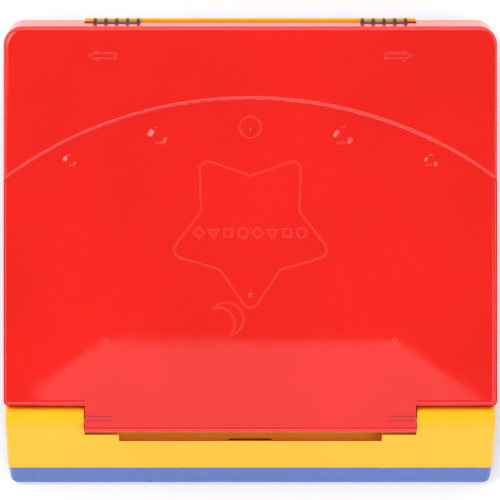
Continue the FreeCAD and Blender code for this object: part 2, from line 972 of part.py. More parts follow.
def circuit_board():
    item = Moulding("CircuitBoard")
    item.pad(
        dim.board_thickness,
        level=dim.board_low,
        loops=[[
            (-dim.board_half_width, dim.board_front),
            (dim.board_half_width, dim.board_front),
            (dim.board_half_width, dim.board_rear),
            (dim.board_step_x, dim.board_rear),
            (dim.board_step_x, dim.board_step_y),
            (-dim.board_half_width, dim.board_step_y),
        ]],
    )
    item.pocket(
        3,
        level=dim.board_low + dim.board_thickness + 1,
        circles=[(centre, dim.small_screw_radius + 0.2) for centre in board_screw_places()],
    )
    keep("circuit_board", item.body)


def board_components():
    """Sealed chip blob, crystal and capacitors under the circuit board."""
    under = dim.board_low
    blob = cone(-20, -10, under - 2, 7, 11, 2)
    crystal = block(8, 13, -6, -2, under - 3.5, under)
    capacitors = [rod(30 + 12 * number, 4, under - 7, 3, 7) for number in range(3)]
    keep("board_components", group([blob, crystal, *capacitors]))


def keypad_sheet():
    """Rubber sheet with a low dome under every key and button."""
    item = Moulding("KeypadSheet")
    low = dim.board_low + dim.board_thickness
    high = low + dim.keypad_thickness
    margin = dim.keypad_margin
    row_front = space_row() - dim.key_depth / 2
    item.pad(
        dim.keypad_thickness,
        level=low,
        loops=[[
            (margin - dim.board_half_width, row_front),
            (dim.board_half_width - margin, row_front),
            (dim.board_half_width - margin, dim.board_rear - margin * 2),
            (dim.board_step_x + margin * 2, dim.board_rear - margin * 2),
            (dim.board_step_x + margin * 2, dim.board_step_y - 1),
            (margin - dim.board_half_width, dim.board_step_y - 1),
        ]],
    )
    centres = [(x, y) for _, x, y in key_places()]
    centres += [(x, y) for _, x, y in button_places()]
    centres += [(side * dim.space_width / 3, space_row()) for side in (-1, 1)]
    item.pad(
        dim.dome_height + 0.1,
        level=high - 0.1,
        circles=[(centre, dim.dome_radius) for centre in centres],
    )
    keep("keypad_sheet", item.body)


def speaker():
    """Small loudspeaker hung under the deck: rim, basket and magnet."""
    x, y = dim.speaker_x, dim.speaker_y
    rim_high = dim.deck_height - dim.deck_thickness - 0.1
    rim_low = rim_high - 2
    basket_low = rim_low - 5.5
    rim = rod(x, y, rim_low, dim.speaker_radius, 2)
    basket = cone(x, y, basket_low, dim.speaker_radius * 0.6, dim.speaker_radius * 0.92, 5.6)
    magnet = rod(x, y, dim.speaker_bottom, dim.speaker_radius * 0.6, basket_low + 0.1 - dim.speaker_bottom)
    hollow = cone(x, y, rim_low - 3, dim.speaker_radius * 0.3, dim.speaker_radius * 0.86, 5.2)
    keep("speaker", cut(fuse(rim, basket, magnet), hollow))


def battery_cells():
    """Four round cells in two rows, each row's cells pointing the other way."""
    cells = []
    middle = (dim.bay_front + dim.bay_rear) / 2
    height = dim.foot_height + dim.door_thickness + 0.4 + dim.cell_radius
    whole = dim.cell_length + dim.cell_nub
    for side, turn in ((1, ALONG_X), (-1, AGAINST_X)):
        y = middle + side * (dim.cell_radius + 1)
        for start in (-whole - 0.1, Size(0.1)):
            can = rod(side * start, y, height, dim.cell_radius, dim.cell_length, turn)
            nub = rod(side * (start + dim.cell_length - 0.1), y, height, 2.7, dim.cell_nub + 0.1, turn)
            cells.append(fuse(can, nub))
    keep("battery_cells", group(cells))


def battery_contacts():
    """Sprung contact plates at both ends of each row of cells."""
    contacts = []
    middle = (dim.bay_front + dim.bay_rear) / 2
    height = dim.foot_height + dim.door_thickness + 0.4 + dim.cell_radius
    plate_inner = dim.bay_half_length - 0.5
    cell_end = dim.cell_length + dim.cell_nub + 0.2
    for row in (-1, 1):
        y = middle + row * (dim.cell_radius + 1)
        for side, turn in ((1, ALONG_X), (-1, AGAINST_X)):
            edges = ordered(side * plate_inner, side * (plate_inner + 0.4))
            plate = block(edges[0], edges[1], y - 5, y + 5, height - 5, height + 5)
            reach = plate_inner - cell_end
            spring = cone(side * cell_end, y, height, 2.0, 3.4, reach + 0.1, turn)
            contacts.append(fuse(plate, spring))
    keep("battery_contacts", group(contacts))


# ---- keys and buttons ----


def key(node, x, y, width):
    """A key cap with rounded edges and a wider flange that stays under the deck."""
    half, deep = width / 2, dim.key_depth / 2
    low, top = dim.key_flange_top - 0.1, dim.key_top
    cap = block(x - half, x + half, y - deep, y + deep, low, top)
    cap = rounded(cap, dim.key_round, upright)
    cap = rounded(cap, dim.key_edge_round, at_height(top))
    half, deep = half + dim.key_flange, deep + dim.key_flange
    flange = block(x - half, x + half, y - deep, y + deep, dim.key_flange_bottom, dim.key_flange_top)
    keep(node, fuse(cap, flange))


def button(node, x, y):
    low, top = dim.key_flange_top - 0.1, dim.key_top
    cap = rod(x, y, low, dim.button_radius, top - low)
    cap = rounded(cap, dim.key_edge_round * 1.5, at_height(top))
    flange_height = dim.key_flange_top - dim.key_flange_bottom
    flange = rod(x, y, dim.key_flange_bottom, dim.button_radius + 1.2, flange_height)
    keep(node, fuse(cap, flange))


def keyboard():
    for letter, x, y in key_places():
        key(f"key_{letter}", x, y, dim.key_width)
    key("space_bar", Size(0), space_row(), dim.space_width)
    for name, x, y in button_places():
        button(f"{name}_button", x, y)


# ---- lid ----


def lid_block(name, height):
    """A solid lid of one height: sloping front face, rounded corners and edges."""
    item = Moulding(name)
    item.pad(
        dim.lid_half_width * 2,
        plane="YZ_Plane",
        symmetric=True,
        loops=[[
            (dim.lid_front_foot, dim.lid_rim),
            (latch_wall(height), height),
            (dim.wing_rear, height),
            (dim.wing_rear, dim.lid_rim),
        ]],
    )
    item.fillet(
        dim.front_corner,
        lambda edge, box: box.YMax < dim.lid_front_foot.value + 8 and box.ZLength > 10 and box.XLength < 5,
    )
    item.fillet(
        dim.lid_rear_corner,
        lambda edge, box: box.YMin > dim.wing_rear.value - 1 and box.ZLength > 10,
    )
    item.fillet(
        dim.lid_edge_round,
        lambda edge, box: abs(box.ZMin - height.value) < 1e-3 and box.YMin < dim.wing_rear.value - 3,
    )
    return item.body


def lid_hollow():
    """The space inside the lid, as a solid to cut away."""
    item = Moulding("LidHollow")
    wall = dim.lid_wall
    roof = dim.lid_height - dim.lid_step - wall
    item.pad(
        (dim.lid_half_width - wall) * 2,
        plane="YZ_Plane",
        symmetric=True,
        loops=[[
            (latch_wall(dim.lid_rim - 1) + wall, dim.lid_rim - 1),
            (latch_wall(roof) + wall, roof),
            (dim.wing_rear - wall, roof),
            (dim.wing_rear - wall, dim.lid_rim - 1),
        ]],
    )
    item.fillet(
        dim.front_corner - wall,
        lambda edge, box: box.YMax < dim.lid_front_foot.value + 10 and box.ZLength > 10 and box.XLength < 5,
    )
    return item.body


def cap_dome(x, y, radius, height):
    """A low lens-shaped bump on the lid's lower top surface."""
    surface = dim.lid_height - dim.lid_step
    ball_radius = (radius * radius + height * height) / (height * 2)
    ball = doc.addObject("Part::Sphere", "Ball")
    ball.setExpression("Radius", ball_radius.formula)
    place(ball, x, y, surface + height - ball_radius)
    item = doc.addObject("Part::Common", "Dome")
    item.Base = ball
    item.Tool = rod(x, y, surface - 1, radius, height + 2)
    return item


def lid_domes():
    """Five bumps in a row that follows the arc, the middle one with a pip on it."""
    domes = []
    for x, y, radius, height in LID_DOMES:
        for side in (1, -1) if x else (1,):
            domes.append(cap_dome(Size(side * x), Size(y), Size(radius), Size(height)))
    return domes


def lid_pips():
    """Three small conical moulding pips."""
    sunk = 0.1
    foot_level = dim.lid_height - dim.lid_step - sunk
    pips = []
    for x, y, foot_radius, crown_radius in LID_PIPS:
        height = dim.pip_slope * (foot_radius - crown_radius)
        for side in (1, -1) if x else (1,):
            pips.append(cone(side * x, y, foot_level, foot_radius, crown_radius, height))
    return pips


def closed_wire(points, level):
    corners = [Vector(x, y, level) for x, y in points]
    return Part.makePolygon([*corners, corners[0]])


def shifted(wire, distance):
    """The wire moved outwards with rounded corners, or inwards (a negative distance) with sharp ones."""
    round_join, sharp_join = 0, 2
    join = round_join if distance > 0 else sharp_join
    return wire.makeOffset2D(distance, join, False, False, True) if distance else wire


def ridge(name, wire, outer=0.0):
    """A raised line with sloping flanks. Its outer edge runs outside a wire by the distance given."""
    line, flank = dim.mark_line.value, dim.mark_flank.value
    sunk = 0.1
    rise = Vector(0, 0, dim.mark_height.value + sunk)

    def tapered(foot, crown):
        crest = shifted(wire, crown).copy()
        crest.translate(rise)
        return Part.makeLoft([shifted(wire, foot), crest], True, True)

    shape = tapered(outer, outer - flank).cut(tapered(outer - line, outer - line + flank))
    shape.translate(Vector(0, 0, -sunk))
    item = doc.addObject("Part::Feature", name)
    item.Shape = shape
    return item


def arrow_marks():
    """Two outlined arrows on the raised front part, each pointing the way its latch slides."""
    half = dim.arrow_length.value / 2
    neck = half - dim.arrow_head_length.value
    head, shaft = dim.arrow_head_width.value / 2, dim.arrow_shaft_width.value / 2
    near_side = [(-half, -shaft), (neck, -shaft), (neck, -head)]
    outline = [*near_side, (half, 0), *((x, -y) for x, y in reversed(near_side))]
    marks = []
    for side in (1, -1):
        points = [(side * (dim.arrow_x.value + x), dim.arrow_y.value + y) for x, y in outline]
        marks.append(ridge("ArrowMark", closed_wire(points[::side], dim.lid_height.value)))
    return marks


def ring_mark():
    """A thin ring around the middle dome."""
    centre = Vector(0, dim.ring_y.value, (dim.lid_height - dim.lid_step).value)
    return ridge("RingMark", Part.Wire(Part.makeCircle(dim.ring_radius.value, centre)))


def star_marks():
    """A five-pointed star outline with rounded points, and a crescent beside it."""
    level = dim.lid_height.value - dim.lid_step.value
    points = []
    for number in range(10):
        radius = dim.star_waist.value if number % 2 else dim.star_radius.value
        angle = math.radians(90 + 36 * number)
        points.append((radius * math.cos(angle), dim.star_y.value + radius * math.sin(angle)))
    star = ridge("StarMark", closed_wire(points, level), dim.star_rounding.value)
    up = Vector(0, 0, 1)
    centre = Vector(dim.moon_x.value, dim.moon_y.value, level)
    radius = dim.moon_radius.value
    bite_centre = centre + Vector(radius * dim.moon_bite_x.value, radius * dim.moon_bite_y.value, 0)
    disc = Part.Face(Part.Wire(Part.makeCircle(radius, centre, up)))
    bite = Part.Face(Part.Wire(Part.makeCircle(radius * dim.moon_bite_size.value, bite_centre, up)))
    return [star, ridge("MoonMark", disc.cut(bite).Faces[0].OuterWire)]


def shape_row():
    """A row of small outlines inside the star: ring, square, triangle and diamond by turns."""
    level = dim.lid_height.value - dim.lid_step.value
    count = 8
    spacing = 2 * dim.row_half_length.value / (count - 1)
    radius = dim.row_radius.value
    shapes = []
    kinds = ((0, 0, 0.85), (4, 45, 1.0), (3, 90, 1.15), (4, 0, 1.0))
    for number in range(count):
        x = -dim.row_half_length.value + spacing * number
        y = dim.row_y.value
        sides, turn, grow = kinds[number % len(kinds)]
        reach = radius * grow
        if sides:
            corners = [math.radians(turn + 360 * k / sides) for k in range(sides)]
            points = [(x + reach * math.cos(angle), y + reach * math.sin(angle)) for angle in corners]
            wire = closed_wire(points, level)
        else:
            wire = Part.Wire(Part.makeCircle(reach, Vector(x, y, level)))
        shapes.append(ridge("RowMark", wire))
    return shapes


def step_cutter():
    """What is cut away behind the raised front part: it leaves an arc-shaped bevel with rounded edges."""
    low, high = (dim.lid_height - dim.lid_step).value, dim.lid_height.value
    radius, bend = dim.arc_radius.value, dim.arc_round.value
    tangent = bend * math.tan(math.radians(22.5))
    foot, top = radius - tangent, radius + dim.lid_step.value + tangent
    over = 1.0

    def along_arc(r, z, degrees):
        angle = math.radians(degrees)
        return Vector(r + bend * math.cos(angle), 0, z + bend * math.sin(angle))

    foot_bend = [along_arc(foot, low + bend, angle) for angle in (-90, -67.5, -45)]
    top_bend = [along_arc(top, high - bend, angle) for angle in (135, 112.5, 90)]
    axis = [Vector(0, 0, high + over), Vector(0, 0, low - over)]
    above_top, below_foot = Vector(top, 0, high + over), Vector(foot, 0, low - over)
    edges = [
        Part.makePolygon([top_bend[2], above_top, *axis, below_foot, foot_bend[0]]),
        Part.Arc(*foot_bend).toShape(),
        Part.makeLine(foot_bend[2], top_bend[0]),
        Part.Arc(*top_bend).toShape(),
    ]
    outline = Part.Wire(Part.__sortEdges__([edge for item in edges for edge in item.Edges]))
    shape = Part.Face(outline).revolve(Vector(0, 0, 0), Vector(0, 0, 1), 360)
    shape.translate(Vector(0, dim.arc_centre_y.value, 0))
    item = doc.addObject("Part::Feature", "StepCutter")
    item.Shape = shape
    return item


def lid_cover():
    """Red shell: raised front part, arc-shaped step, domes, marks and hinge barrel."""
    low_top = dim.lid_height - dim.lid_step
    low = lid_block("LidLow", low_top)
    high = lid_block("LidHigh", dim.lid_height)
    front_part = cut(high, step_cutter())
    half = dim.barrel_half_length
    tongue_front = dim.wing_rear - dim.lid_edge_round - 1
    tongue = block(-half, half, tongue_front, dim.hinge_y, low_top - dim.tongue_thickness, low_top)
    barrel = rod(-half, dim.hinge_y, dim.hinge_z, dim.barrel_radius, half * 2, ALONG_X)
    barrel_rear = dim.hinge_y + dim.barrel_radius
    barrel_corner = rounded(
        block(-half, half, dim.hinge_y, barrel_rear, dim.hinge_z, low_top),
        dim.barrel_corner_round,
        lambda edge, box: box.XLength > 10
        and box.YMin > barrel_rear.value - 0.1
        and box.ZMin > dim.hinge_z.value + 1,
    )
    marks = [*lid_domes(), *lid_pips(), *arrow_marks(), ring_mark(), *star_marks(), *shape_row()]
    solid = fuse(low, front_part, tongue, barrel, barrel_corner, *marks)
    slots = []
    for side in (1, -1):
        edges = ordered(side * dim.latch_slot_inner, side * dim.latch_slot_outer)
        front = dim.lid_front_foot - 3
        slots.append(block(*edges, front, front + 8, dim.latch_slot_low, dim.latch_slot_high))
        edges = ordered(side * dim.groove_inner, side * (half + 1))
        floor = low_top - dim.groove_depth
        for y in (dim.groove_front, dim.groove_rear):
            slots.append(block(*edges, y, y + dim.groove_width, floor, low_top + 1))
    bore_radius = dim.pin_radius + dim.pin_clearance
    bore = rod(-half - 1, dim.hinge_y, dim.hinge_z, bore_radius, (half + 1) * 2, ALONG_X)
    shell = cut(solid, lid_hollow(), bore, *slots)
    boss_low = dim.frame_low + dim.frame_thickness
    boss_length = low_top - dim.lid_wall + 0.5 - boss_low
    bosses = [rod(x, y, boss_low, dim.lid_boss_radius, boss_length) for x, y in lid_screw_places()]
    holes = [rod(x, y, boss_low - 1, dim.small_screw_radius, 10) for x, y in lid_screw_places()]
    keep("lid_cover", cut(fuse(shell, *bosses), *holes))


def screen_frame():
    """Yellow inner frame that closes the lid and surrounds the screen window."""
    item = Moulding("ScreenFrame")
    low, high = dim.frame_low, dim.frame_low + dim.frame_thickness
    half = dim.frame_half_width
    item.pad(dim.frame_thickness, level=low, loops=[rectangle(-half, half, dim.frame_front, dim.frame_rear)])
    item.fillet(
        dim.front_corner - dim.lid_wall,
        lambda edge, box: upright(edge, box) and box.YMax < dim.frame_front.value + 1,
    )
    border = dim.window_border
    item.pad(
        dim.window_border_drop + 0.1,
        level=low - dim.window_border_drop,
        loops=[
            rectangle(
                -dim.window_half_width - border,
                dim.window_half_width + border,
                dim.window_front - border,
                dim.window_rear + border,
            )
        ],
    )
    item.fillet(
        4,
        lambda edge, box: upright(edge, box) and box.ZMin < low.value - 1,
    )
    item.pocket(
        10,
        level=high + 1,
        loops=[rectangle(-dim.window_half_width, dim.window_half_width, dim.window_front, dim.window_rear)],
    )
    # room for the latches, and the wall that keeps them in their slots
    notch_inner = dim.latch_slot_inner - 5
    notch_outer = dim.latch_slot_outer + 5
    wall_front = latch_wall(dim.latch_slot_high + 1.2) + dim.lid_wall + dim.latch_gap * 2 + dim.latch_flange
    item.pocket(
        5,
        level=high + 1,
        loops=both_sides(rectangle(notch_inner, notch_outer, dim.frame_front - 1, wall_front)),
    )
    item.pad(
        dim.latch_slot_high - high + 1,
        level=high - 0.1,
        loops=both_sides(rectangle(notch_inner, notch_outer, wall_front, wall_front + 1.4)),
    )
    # posts for the display board
    for centre in display_screw_places():
        item.pad(
            display_board_low() - high + 0.1,
            level=high - 0.1,
            circles=[(centre, dim.display_post_radius)],
        )
        item.pocket(
            dim.display_board_thickness + 4,
            level=display_board_low() + dim.display_board_thickness,
            circles=[(centre, dim.small_screw_radius)],
        )
    item.pocket(
        5,
        level=high + 1,
        circles=[(centre, dim.small_screw_radius + 0.2) for centre in lid_screw_places()],
    )
    item.pocket(
        low + dim.small_head_height + 0.1,
        level=0,
        upward=True,
        circles=[(centre, dim.small_head_radius + 0.3) for centre in lid_screw_places()],
    )
    keep("screen_frame", item.body)


def display_board_low():
    return dim.frame_low + dim.frame_thickness + dim.window_thickness + dim.display_thickness + 0.4


def display():
    """Window, display module and its board, stacked behind the frame's opening."""
    lap = dim.window_lap
    half = dim.window_half_width
    front, rear = dim.window_front, dim.window_rear
    low = dim.frame_low + dim.frame_thickness
    high = low + dim.window_thickness
    keep("screen_window", block(-half - lap, half + lap, front - lap, rear + lap, low, high))
    low = high + 0.2
    module = block(-half + 1, half - 1, front + 1, rear - 1, low, low + dim.display_thickness)
    keep("display_module", rounded(module, Size(1.0), upright))
    low = display_board_low()
    item = Moulding("DisplayBoard")
    reach = dim.display_post_x + 3
    spread = dim.window_border + 2.5
    item.pad(
        dim.display_board_thickness,
        level=low,
        loops=[rectangle(-reach, reach, front - spread, rear + spread)],
    )
    item.pocket(
        5,
        level=low + dim.display_board_thickness + 1,
        circles=[(centre, dim.small_screw_radius + 0.2) for centre in display_screw_places()],
    )
    keep("display_board", item.body)


def lid_bumpers():
    """Rubber pads under the lid's frame that meet the rim of the base."""
    pads = []
    low = dim.rim_height + 0.3
    for side in (1, -1):
        for y in (dim.deck_front - 5.5, dim.frame_rear - 2.7):
            pads.append(rod(side * dim.bumper_x, y, low, dim.bumper_radius, dim.frame_low - low))
    keep("lid_bumpers", group(pads))


def latch(node, side):
    """A ribbed slider in the lid's front wall, with a hook that reaches into the base."""
    item = Moulding(node.title().replace("_", ""))
    gap = dim.latch_gap
    low, high = dim.latch_slot_low + gap, dim.latch_slot_high - gap
    inner = dim.latch_slot_inner + gap
    outer = inner + dim.latch_length
    face, back = dim.latch_face, dim.lid_wall + gap

    def slanted(bottom, top, front, rear):
        """Outline in Y and Z that follows the lid's sloping front wall."""
        return [
            (latch_wall(bottom) + front, bottom),
            (latch_wall(top) + front, top),
            (latch_wall(top) + rear, top),
            (latch_wall(bottom) + rear, bottom),
        ]

    def across(start, end):
        """Sketch level and length of a pad that runs from start to end on this side."""
        return (side * start if side > 0 else side * end), end - start

    level, length = across(inner, outer)
    item.pad(length, plane="YZ_Plane", level=level, loops=[slanted(low, high, face, back + 0.1)])
    level, length = across(inner - dim.latch_lap, outer + dim.latch_lap)
    flange_low, flange_high = dim.frame_low - 1, high + 1.2
    item.pad(
        length,
        plane="YZ_Plane",
        level=level,
        loops=[slanted(flange_low, flange_high, back, back + dim.latch_flange)],
    )
    middle = (inner + outer) / 2
    for number in range(-2, 3):
        rib = middle + dim.latch_rib_pitch * number
        level, length = across(rib - dim.latch_rib_width / 2, rib + dim.latch_rib_width / 2)
        item.pad(
            length,
            plane="YZ_Plane",
            level=level,
            loops=[slanted(low + 0.4, high - 0.4, face - dim.latch_rib, face + 0.1)],
        )
    level, length = across(dim.hook_inner, dim.hook_outer)
    item.pad(
        length,
        plane="YZ_Plane",
        level=level,
        loops=[rectangle(dim.hook_front, dim.hook_rear, dim.hook_low, dim.frame_low + 1)],
    )
    keep(node, item.body)


# ---- build, check, export ----


def check(item):
    if any(word in item.State for word in ("Invalid", "Error")):
        raise ValueError(f"{item.Label} failed: {item.State}")


def export():
    os.makedirs("parts", exist_ok=True)
    for item in doc.Objects:
        check(item)
    for node, item in parts.items():
        shape = item.Shape
        if shape.isNull() or not shape.isValid() or not shape.Solids:
            raise ValueError(f"{node} has no valid solid")
        shape.exportStep(f"parts/{node}.step")


upper_housing()
bottom_shell()
battery_door()
fasteners()
hinge_pins()
rubber_feet()
circuit_board()
board_components()
keypad_sheet()
speaker()
battery_cells()
battery_contacts()
keyboard()
lid_cover()
screen_frame()
display()
lid_bumpers()
latch("latch_right", 1)
latch("latch_left", -1)
doc.recompute()
export()
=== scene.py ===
import math

import bpy
import bmesh
from mathutils import Matrix, Vector


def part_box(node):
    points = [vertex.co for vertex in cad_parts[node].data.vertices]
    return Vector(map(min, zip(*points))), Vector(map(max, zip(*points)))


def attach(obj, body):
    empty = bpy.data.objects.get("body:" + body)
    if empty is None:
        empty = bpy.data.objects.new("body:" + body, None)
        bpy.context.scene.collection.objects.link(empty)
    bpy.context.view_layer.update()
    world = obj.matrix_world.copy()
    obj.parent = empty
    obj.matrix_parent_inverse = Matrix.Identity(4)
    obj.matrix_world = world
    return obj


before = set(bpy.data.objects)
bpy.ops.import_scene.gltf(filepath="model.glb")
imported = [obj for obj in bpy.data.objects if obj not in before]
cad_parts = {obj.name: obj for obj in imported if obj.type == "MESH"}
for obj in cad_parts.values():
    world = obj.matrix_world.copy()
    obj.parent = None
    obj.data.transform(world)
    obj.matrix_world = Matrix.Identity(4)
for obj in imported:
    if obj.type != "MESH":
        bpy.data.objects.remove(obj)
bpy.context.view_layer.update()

# The closed toy laptop seen from straight above, its front edge at the top of the picture.
# Lengths are in metres, in the frame of the CAD model: X to the right, +Y to the hinge, Z up.

MM = 0.001
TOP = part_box("lid_cover")[1].z


# ---- materials ----


class Finish:
    """The nodes of one material: a Principled shader with procedural colour, roughness and bump."""

    def __init__(self, name):
        self.material = bpy.data.materials.new(name)
        self.material.use_nodes = True
        self.tree = self.material.node_tree
        self.tree.nodes.clear()
        self.shader = self.add("ShaderNodeBsdfPrincipled")
        output = self.add("ShaderNodeOutputMaterial")
        self.join(self.shader.outputs["BSDF"], output.inputs["Surface"])
        self.place = self.add("ShaderNodeTexCoord").outputs["Object"]

    def add(self, kind, **inputs):
        node = self.tree.nodes.new(kind)
        for name, value in inputs.items():
            node.inputs[name.replace("_", " ")].default_value = value
        return node

    def join(self, source, target):
        self.tree.links.new(source, target)

    def set(self, **inputs):
        for name, value in inputs.items():
            self.shader.inputs[name.replace("_", " ")].default_value = value

    def stretched(self, scale, turn=0.0):
        """Coordinates scaled differently along each axis, and turned about Z."""
        mapping = self.add("ShaderNodeMapping", Scale=scale, Rotation=(0, 0, turn))
        self.join(self.place, mapping.inputs["Vector"])
        return mapping.outputs["Vector"]

    def noise(self, scale, detail=2.0, place=None):
        node = self.add("ShaderNodeTexNoise", Scale=scale, Detail=detail)
        self.join(place or self.place, node.inputs["Vector"])
        return node.outputs["Fac"]

    def spots(self, scale):
        node = self.add("ShaderNodeTexVoronoi", Scale=scale)
        self.join(self.place, node.inputs["Vector"])
        return node.outputs["Distance"]

    def between(self, value, low, high, start=0.35, end=0.65):
        """Spreads a value from start to end over low to high."""
        node = self.add("ShaderNodeMapRange")
        for name, number in (("From Min", start), ("From Max", end), ("To Min", low), ("To Max", high)):
            node.inputs[name].default_value = number
        self.join(value, node.inputs["Value"])
        return node.outputs["Result"]

    def blend(self, amount, first, second):
        """Mixes two colours, each a tuple or a node's output."""
        node = self.tree.nodes.new("ShaderNodeMix")
        node.data_type = "RGBA"
        self.join(amount, node.inputs["Factor"])
        for socket, colour in ((node.inputs[6], first), (node.inputs[7], second)):
            if isinstance(colour, tuple):
                socket.default_value = (*colour, 1)
            else:
                self.join(colour, socket)
        return node.outputs[2]

    def bump(self, height, depth, strength=1.0, under=None):
        node = self.add("ShaderNodeBump", Strength=strength, Distance=depth)
        self.join(height, node.inputs["Height"])
        if under:
            self.join(under, node.inputs["Normal"])
        return node.outputs["Normal"]

    def colour(self, output):
        self.join(output, self.shader.inputs["Base Color"])

    def roughness(self, output):
        self.join(output, self.shader.inputs["Roughness"])

    def normal(self, output):
        self.join(output, self.shader.inputs["Normal"])


def glossy_plastic(name, pale, deep, smooth=0.045, dull=0.085, shine=0.5, wave=0.25):
    """Shiny injection-moulded plastic: faint flow clouds, a slight wave in its skin, hairline scratches."""
    finish = Finish(name)
    clouds = finish.between(finish.noise(14, 3), 0, 1)
    specks = finish.between(finish.noise(900, 1), 0, 1, 0.62, 0.75)
    body = finish.blend(clouds, pale, deep)
    finish.colour(finish.blend(specks, body, tuple(c * 0.98 for c in deep)))
    along = finish.noise(1, 2, finish.stretched((18, 900, 60), 0.5))
    across = finish.noise(1, 2, finish.stretched((700, 14, 60), 0.2))
    wear = finish.add("ShaderNodeMath")
    wear.operation = "MAXIMUM"
    finish.join(finish.between(along, 0, 1, 0.66, 0.72), wear.inputs[0])
    finish.join(finish.between(across, 0, 1, 0.67, 0.73), wear.inputs[1])
    skin = finish.between(finish.noise(60, 2), smooth, dull)
    scratch_dullness = 0.06
    marked = finish.add("ShaderNodeMath")
    marked.operation = "MULTIPLY_ADD"
    marked.inputs[1].default_value = scratch_dullness
    finish.join(wear.outputs["Value"], marked.inputs[0])
    finish.join(skin, marked.inputs[2])
    finish.roughness(marked.outputs["Value"])
    rolling = finish.bump(finish.noise(22, 2), 0.35 * MM, wave)
    finish.normal(finish.bump(finish.noise(650, 2), 0.01 * MM, 0.3, rolling))
    finish.set(IOR=1.5, Specular_IOR_Level=shine)
    return finish.material


def textured_plastic(name, pale, deep, grain=0.04 * MM, rough=(0.38, 0.5)):
    """Moulded plastic with the fine spark-eroded grain of keys, latches and undersides."""
    finish = Finish(name)
    clouds = finish.between(finish.noise(25, 3), 0, 1)
    finish.colour(finish.blend(clouds, pale, deep))
    finish.roughness(finish.between(finish.noise(180, 3), *rough))
    finish.normal(finish.bump(finish.noise(1600, 3), grain, 0.6))
    finish.set(IOR=1.5)
    return finish.material


def rubber(name, pale, deep):
    """Matte moulded rubber with a little dust on it."""
    finish = Finish(name)
    dust = finish.between(finish.noise(120, 4), 0, 1, 0.4, 0.7)
    finish.colour(finish.blend(dust, deep, pale))
    finish.roughness(finish.between(finish.noise(300, 2), 0.6, 0.85))
    finish.normal(finish.bump(finish.noise(900, 3), 0.06 * MM, 0.7))
    return finish.material


def plated_metal(name, pale, deep, rough=(0.2, 0.4)):
    """Plated steel with the turned rings and stains of small hardware."""
    finish = Finish(name)
    stains = finish.between(finish.noise(140, 4), 0, 1)
    finish.colour(finish.blend(stains, pale, deep))
    drawn = finish.noise(1, 2, finish.stretched((2600, 2600, 90)))
    finish.roughness(finish.between(drawn, *rough))
    finish.normal(finish.bump(drawn, 0.02 * MM, 0.4))
    finish.set(Metallic=1.0)
    return finish.material


def circuit_laminate(name, pale, deep):
    """Green solder mask over copper tracks."""
    finish = Finish(name)
    grid = finish.add("ShaderNodeTexBrick", Scale=1.0, Mortar_Size=0.05)
    finish.join(finish.stretched((260, 420, 1)), grid.inputs["Vector"])
    tracks = finish.between(grid.outputs["Fac"], 0, 1, 0, 1)
    finish.colour(finish.blend(tracks, deep, pale))
    finish.roughness(finish.between(finish.noise(220, 2), 0.25, 0.4))
    finish.normal(finish.bump(tracks, 0.04 * MM, 0.6))
    return finish.material


def paper_cone(name, pale, deep):
    """The felted black cone and frame of a small loudspeaker."""
    finish = Finish(name)
    fibre = finish.noise(1, 4, finish.stretched((700, 900, 500), 0.4))
    finish.colour(finish.blend(finish.between(fibre, 0, 1), deep, pale))
    finish.roughness(finish.between(fibre, 0.7, 0.9))
    finish.normal(finish.bump(fibre, 0.08 * MM, 0.8))
    return finish.material


def cell_jacket(name, pale, deep):
    """The printed wrap of a dry cell: a broad stripe along one end and a satin film over it."""
    finish = Finish(name)
    stripe = finish.add("ShaderNodeTexWave", Scale=9.0, Distortion=0.0)
    finish.join(finish.place, stripe.inputs["Vector"])
    bands = finish.between(stripe.outputs["Fac"], 0, 1, 0.6, 0.62)
    finish.colour(finish.blend(bands, pale, deep))
    finish.roughness(finish.between(finish.noise(90, 2), 0.2, 0.32))
    finish.normal(finish.bump(finish.noise(200, 2), 0.02 * MM, 0.4))
    return finish.material


def clear_sheet(name):
    """The clear acrylic window, with dust that dulls it a little."""
    finish = Finish(name)
    dust = finish.between(finish.spots(420), 0, 1, 0.02, 0.2)
    finish.colour(finish.blend(dust, (0.86, 0.9, 0.9), (0.97, 0.98, 0.98)))
    finish.roughness(finish.between(finish.noise(80, 2), 0.02, 0.07))
    finish.normal(finish.bump(finish.noise(40, 1), 0.01 * MM, 0.2))
    finish.set(IOR=1.49, Transmission_Weight=1.0)
    return finish.material


def liquid_crystal(name, pale, deep):
    """The grey-green face of the display, with the faint grid of its cells."""
    finish = Finish(name)
    cells = finish.add("ShaderNodeTexBrick", Scale=1.0, Mortar_Size=0.03)
    cells.offset = 0.0
    finish.join(finish.stretched((900, 1800, 1)), cells.inputs["Vector"])
    shade = finish.blend(finish.between(finish.noise(30, 2), 0, 1), pale, deep)
    finish.colour(finish.blend(cells.outputs["Fac"], shade, tuple(c * 0.75 for c in deep)))
    finish.roughness(finish.between(finish.noise(150, 2), 0.3, 0.42))
    finish.normal(finish.bump(cells.outputs["Fac"], 0.01 * MM, 0.3))
    return finish.material


def printed_ink(name, pale, deep):
    """Pad-printed ink: slightly uneven cover with tiny pinholes."""
    finish = Finish(name)
    cover = finish.between(finish.noise(700, 3), 0, 1, 0.3, 0.7)
    finish.colour(finish.blend(cover, deep, pale))
    finish.roughness(finish.between(finish.noise(500, 2), 0.32, 0.5))
    finish.normal(finish.bump(finish.noise(1200, 2), 0.01 * MM, 0.5))
    return finish.material


def pale_floor(name):
    """Plain pale paper with very faint clouds."""
    finish = Finish(name)
    clouds = finish.between(finish.noise(3, 3), 0, 1)
    finish.colour(finish.blend(clouds, (0.97, 0.97, 0.97), (0.95, 0.95, 0.95)))
    finish.roughness(finish.between(finish.noise(9, 2), 0.7, 0.85))
    return finish.material


